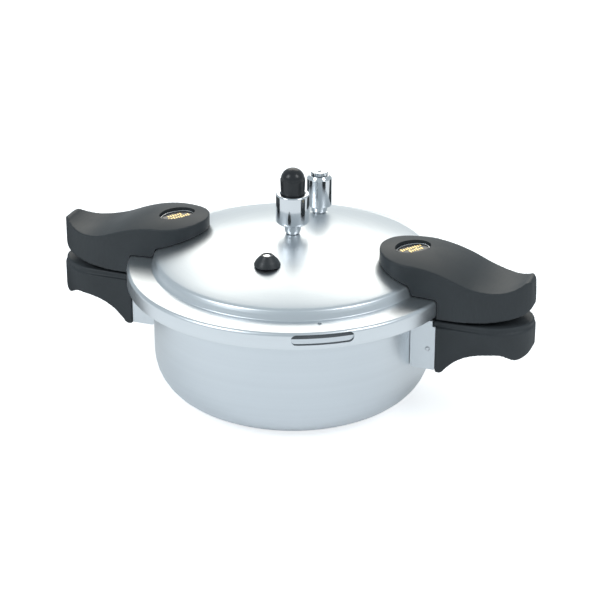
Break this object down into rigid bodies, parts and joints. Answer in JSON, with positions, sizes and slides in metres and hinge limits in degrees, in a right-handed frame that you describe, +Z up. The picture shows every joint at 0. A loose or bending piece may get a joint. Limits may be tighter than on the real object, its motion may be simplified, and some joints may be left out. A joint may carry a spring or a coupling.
{
  "type": "stovetop pressure cooker",
  "caption": "Shallow round aluminium pressure pan with a domed bayonet lid, paired black side handles, a lift-off regulator weight, a sprung relief valve and a rubber safety plug.",
  "frame": {"origin": "middle of the flat base of the pan, on the surface that the pan stands on", "axes": "+X along the side handles, +Z up, -Y towards the safety plug and the front of the lid"},
  "size_m": [0.406, 0.2696, 0.1902],
  "materials": {
    "pan_aluminium": "satin polished",
    "lid_aluminium": "satin polished",
    "sheet_aluminium": "plain sheet",
    "bakelite": "satin moulded",
    "silicone": "matt",
    "black_rubber": "satin",
    "chrome": "polished",
    "stainless": "turned",
    "knob_plastic": "semi gloss",
    "badge_plate": "semi gloss with metal border"
  },
  "bodies": {
    "pan": {"pan_body": "pan_aluminium", "right_bracket": "sheet_aluminium", "right_bracket_rivet_lower": "sheet_aluminium", "right_bracket_rivet_upper": "sheet_aluminium", "right_lower_handle": "bakelite", "right_lower_handle_pin": "stainless", "left_bracket": "sheet_aluminium", "left_bracket_rivet_lower": "sheet_aluminium", "left_bracket_rivet_upper": "sheet_aluminium", "left_lower_handle": "bakelite", "left_lower_handle_pin": "stainless"},
    "seal": {"sealing_ring": "silicone"},
    "lid": {"lid_shell": "lid_aluminium", "right_upper_handle": "bakelite", "right_lid_stud": "sheet_aluminium", "right_upper_handle_screw": "stainless", "right_badge": "badge_plate", "left_upper_handle": "bakelite", "left_lid_stud": "sheet_aluminium", "left_upper_handle_screw": "stainless", "left_badge": "badge_plate", "vent_pipe": "chrome", "vent_washer": "silicone", "vent_nut": "stainless", "vent_guard": "stainless", "relief_valve_base": "chrome", "relief_valve_washer": "silicone", "relief_valve_nut": "stainless", "relief_valve_housing": "chrome", "relief_valve_cap": "chrome", "safety_plug": "black_rubber", "safety_plug_pin": "stainless"},
    "regulator_core": {"regulator_needle": "stainless"},
    "regulator": {"regulator_weight": "chrome", "regulator_knob": "knob_plastic"},
    "relief_plunger": {"relief_valve_plunger": "stainless", "relief_valve_spring": "stainless"}
  },
  "joints": [
    {"name": "lid_lift", "type": "slide", "parent": "pan", "child": "seal", "axis": [0, 0, 1], "range_m": [0, 0.15]},
    {"name": "lid_turn", "type": "hinge", "parent": "seal", "child": "lid", "pos_m": [0, 0, 0.105], "axis": [0, 0, 1], "range_deg": [0, 30]},
    {"name": "regulator_lift", "type": "slide", "parent": "lid", "child": "regulator_core", "axis": [0, 0, 1], "range_m": [0, 0.03]},
    {"name": "regulator_spin", "type": "hinge", "parent": "regulator_core", "child": "regulator", "pos_m": [0, 0, 0.155], "axis": [0, 0, 1], "continuous": true},
    {"name": "relief_plunger_lift", "type": "slide", "parent": "lid", "child": "relief_plunger", "axis": [0, 0, 1], "range_m": [0, 0.003], "stiffness_N_per_m": 1500, "springref_m": -0.0025, "deforming": ["relief_valve_spring"]}
  ]
}
